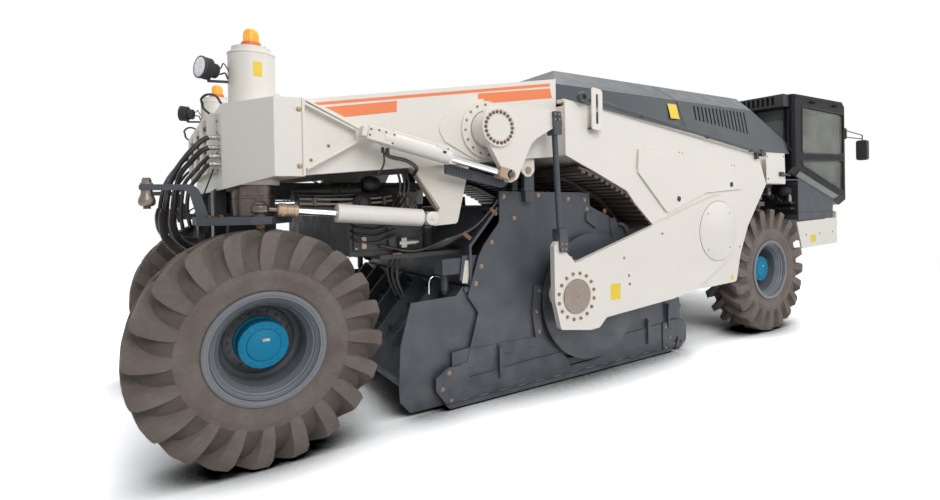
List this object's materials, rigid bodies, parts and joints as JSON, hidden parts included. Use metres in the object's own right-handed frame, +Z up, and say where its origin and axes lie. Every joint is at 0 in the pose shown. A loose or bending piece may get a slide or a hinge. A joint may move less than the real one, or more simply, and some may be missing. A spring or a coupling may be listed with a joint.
{
  "type": "cold recycler",
  "caption": "Four-wheeled road recycler with a swinging milling rotor in a central housing, an offset glazed cab and steered wheels on lift columns.",
  "frame": {"origin": "centre of the overall box on the ground", "axes": "+X forwards to the cab, +Y to the machine's left, +Z up"},
  "size_m": [8.75, 3.154, 2.96],
  "materials": {
    "body": "satin",
    "cab": "gloss",
    "dark": "satin",
    "glass": "polished",
    "hood": "satin",
    "lens": "gloss",
    "rim": "satin",
    "rods": "polished",
    "steel": "matte",
    "trim": "matte",
    "tyre": "matte"
  },
  "bodies": {
    "frame": {"bumper": "dark", "cab": "cab", "cab_glass": "glass", "cab_inside": "trim", "cab_platform": "dark", "chamber_hangers": "dark", "chamber_roof": "dark", "chamber_sides": "dark", "cooler": "dark", "engine": "dark", "engine_hood": "hood", "front_frame": "body", "ladder": "body", "lamps": "lens", "lift_brackets": "body", "lift_columns": "body", "mirror": "trim", "rear_frame": "body", "rear_modules": "dark", "roof_unit": "trim", "skids": "dark", "steer_barrel_front_far": "dark", "steer_barrel_front_near": "dark", "steer_barrel_rear_far": "dark", "steer_barrel_rear_near": "dark", "steer_brackets": "body", "tow_bar": "body", "valve_panel": "dark"},
    "rotor_arms": {"rotor_arms": "body", "seal_discs": "dark"},
    "rotor": {"rotor": "steel"},
    "bell_cranks": {"bell_cranks": "body"},
    "link_rods": {"link_rods": "body"},
    "lift_barrels": {"lift_barrels": "dark"},
    "lift_rods": {"lift_rods": "rods"},
    "gate_rear": {"gate_rear": "dark"},
    "gate_front": {"gate_front": "dark"},
    "service_door_near": {"service_door_near": "dark"},
    "service_door_far": {"service_door_far": "dark"},
    "cab_door": {"cab_door": "cab", "cab_door_pane": "glass"},
    "tie_rod_rear": {"tie_rod_rear": "steel"},
    "tie_rod_front": {"tie_rod_front": "steel"},
    "leg_rear_near": {"leg_rear_near": "body"},
    "wheel_rear_near": {"wheel_rear_near": "rim", "tyre_rear_near": "tyre"},
    "steer_rod_rear_near": {"steer_rod_rear_near": "rods"},
    "leg_rear_far": {"leg_rear_far": "body"},
    "wheel_rear_far": {"wheel_rear_far": "rim", "tyre_rear_far": "tyre"},
    "steer_rod_rear_far": {"steer_rod_rear_far": "rods"},
    "leg_front_near": {"leg_front_near": "body"},
    "wheel_front_near": {"wheel_front_near": "rim", "tyre_front_near": "tyre"},
    "steer_rod_front_near": {"steer_rod_front_near": "rods"},
    "leg_front_far": {"leg_front_far": "body"},
    "wheel_front_far": {"wheel_front_far": "rim", "tyre_front_far": "tyre"},
    "steer_rod_front_far": {"steer_rod_front_far": "rods"}
  },
  "joints": [
    {"name": "arms_swing", "type": "hinge", "parent": "frame", "child": "rotor_arms", "pos_m": [0.865, 0, 1.325], "axis": [0, 1, 0], "range_deg": [-14, 0]},
    {"name": "rotor_turn", "type": "hinge", "parent": "rotor_arms", "child": "rotor", "pos_m": [-1.185, 0, 0.812], "axis": [0, 1, 0], "continuous": true},
    {"name": "cranks_turn", "type": "hinge", "parent": "frame", "child": "bell_cranks", "pos_m": [-1.965, 0, 2.23], "axis": [0, 1, 0], "range_deg": [-0.5, 62.76]},
    {"name": "links_swing", "type": "hinge", "parent": "bell_cranks", "child": "link_rods", "pos_m": [-1.385, 0, 2.355], "axis": [0, 1, 0], "range_deg": [-77.69, 0.5]},
    {"name": "lift_barrels_swing", "type": "hinge", "parent": "frame", "child": "lift_barrels", "pos_m": [-2.945, 0, 2.12], "axis": [0, 1, 0], "range_deg": [-1.14, 0.5]},
    {"name": "lift_rods_slide", "type": "slide", "parent": "lift_barrels", "child": "lift_rods", "axis": [0.9727, 0, -0.232], "range_m": [-0.40899, 0.01]},
    {"name": "steer_rear_near", "type": "hinge", "parent": "frame", "child": "leg_rear_near", "pos_m": [-3.625, -1.058, 1.5], "axis": [0, 0, 1], "range_deg": [-25, 25]},
    {"name": "wheel_rear_near_turn", "type": "hinge", "parent": "leg_rear_near", "child": "wheel_rear_near", "pos_m": [-3.625, -1.22, 0.75], "axis": [0, 1, 0], "continuous": true},
    {"name": "steer_rod_rear_near_slide", "type": "slide", "parent": "frame", "child": "steer_rod_rear_near", "axis": [-0.9964, 0, 0.0842], "range_m": [-0.1, 0.1]},
    {"name": "steer_rear_far", "type": "hinge", "parent": "frame", "child": "leg_rear_far", "pos_m": [-3.625, 1.058, 1.5], "axis": [0, 0, 1], "range_deg": [-25.5, 25.5]},
    {"name": "wheel_rear_far_turn", "type": "hinge", "parent": "leg_rear_far", "child": "wheel_rear_far", "pos_m": [-3.625, 1.22, 0.75], "axis": [0, 1, 0], "continuous": true},
    {"name": "steer_rod_rear_far_slide", "type": "slide", "parent": "frame", "child": "steer_rod_rear_far", "axis": [-0.9964, 0, 0.0842], "range_m": [-0.1, 0.1]},
    {"name": "tie_rod_rear_turn", "type": "hinge", "parent": "leg_rear_near", "child": "tie_rod_rear", "pos_m": [-4.225, -1.058, 1.69], "axis": [0, 0, 1], "range_deg": [-25.5, 25.5]},
    {"name": "steer_front_near", "type": "hinge", "parent": "frame", "child": "leg_front_near", "pos_m": [2.007, -1.058, 1.5], "axis": [0, 0, 1], "range_deg": [-25, 25]},
    {"name": "wheel_front_near_turn", "type": "hinge", "parent": "leg_front_near", "child": "wheel_front_near", "pos_m": [2.007, -1.22, 0.75], "axis": [0, 1, 0], "continuous": true},
    {"name": "steer_rod_front_near_slide", "type": "slide", "parent": "frame", "child": "steer_rod_front_near", "axis": [0.9964, 0, 0.0842], "range_m": [-0.1, 0.1]},
    {"name": "steer_front_far", "type": "hinge", "parent": "frame", "child": "leg_front_far", "pos_m": [2.007, 1.058, 1.5], "axis": [0, 0, 1], "range_deg": [-25.5, 25.5]},
    {"name": "wheel_front_far_turn", "type": "hinge", "parent": "leg_front_far", "child": "wheel_front_far", "pos_m": [2.007, 1.22, 0.75], "axis": [0, 1, 0], "continuous": true},
    {"name": "steer_rod_front_far_slide", "type": "slide", "parent": "frame", "child": "steer_rod_front_far", "axis": [0.9964, 0, 0.0842], "range_m": [-0.1, 0.1]},
    {"name": "tie_rod_front_turn", "type": "hinge", "parent": "leg_front_near", "child": "tie_rod_front", "pos_m": [2.607, -1.058, 1.69], "axis": [0, 0, 1], "range_deg": [-25.5, 25.5]},
    {"name": "gate_rear_swing", "type": "hinge", "parent": "frame", "child": "gate_rear", "pos_m": [-2.095, 0, 0.93], "axis": [0, 1, 0], "range_deg": [0, 10]},
    {"name": "gate_front_swing", "type": "hinge", "parent": "frame", "child": "gate_front", "pos_m": [0.335, 0, 0.7], "axis": [0, -1, 0], "range_deg": [0, 10]},
    {"name": "service_door_near_swing", "type": "hinge", "parent": "frame", "child": "service_door_near", "pos_m": [-0.339, -1.4963, 2.13], "axis": [-0.9926, 0, 0.1215], "range_deg": [0, 75]},
    {"name": "service_door_far_swing", "type": "hinge", "parent": "frame", "child": "service_door_far", "pos_m": [-0.339, 1.4963, 2.13], "axis": [0.9926, 0, -0.1215], "range_deg": [0, 75]},
    {"name": "cab_door_swing", "type": "hinge", "parent": "frame", "child": "cab_door", "pos_m": [2.795, 0.372, 2], "axis": [0, 0, 1], "range_deg": [0, 90]}
  ],
  "couplings": [
    {"joint": "cranks_turn", "follows": "arms_swing", "ratio": -4.4471},
    {"joint": "links_swing", "follows": "arms_swing", "ratio": 5.5134},
    {"joint": "lift_barrels_swing", "follows": "arms_swing", "ratio": 0.045688},
    {"joint": "lift_rods_slide", "follows": "arms_swing", "m_per_rad": 1.6329},
    {"joint": "steer_rod_rear_near_slide", "follows": "steer_rear_near", "m_per_rad": -0.21502},
    {"joint": "steer_rod_rear_far_slide", "follows": "steer_rear_near", "m_per_rad": 0.21502},
    {"joint": "steer_rear_far", "follows": "steer_rear_near", "ratio": 1},
    {"joint": "tie_rod_rear_turn", "follows": "steer_rear_near", "ratio": -1},
    {"joint": "steer_rod_front_near_slide", "follows": "steer_front_near", "m_per_rad": 0.21502},
    {"joint": "steer_rod_front_far_slide", "follows": "steer_front_near", "m_per_rad": -0.21502},
    {"joint": "steer_front_far", "follows": "steer_front_near", "ratio": 1},
    {"joint": "tie_rod_front_turn", "follows": "steer_front_near", "ratio": -1}
  ]
}
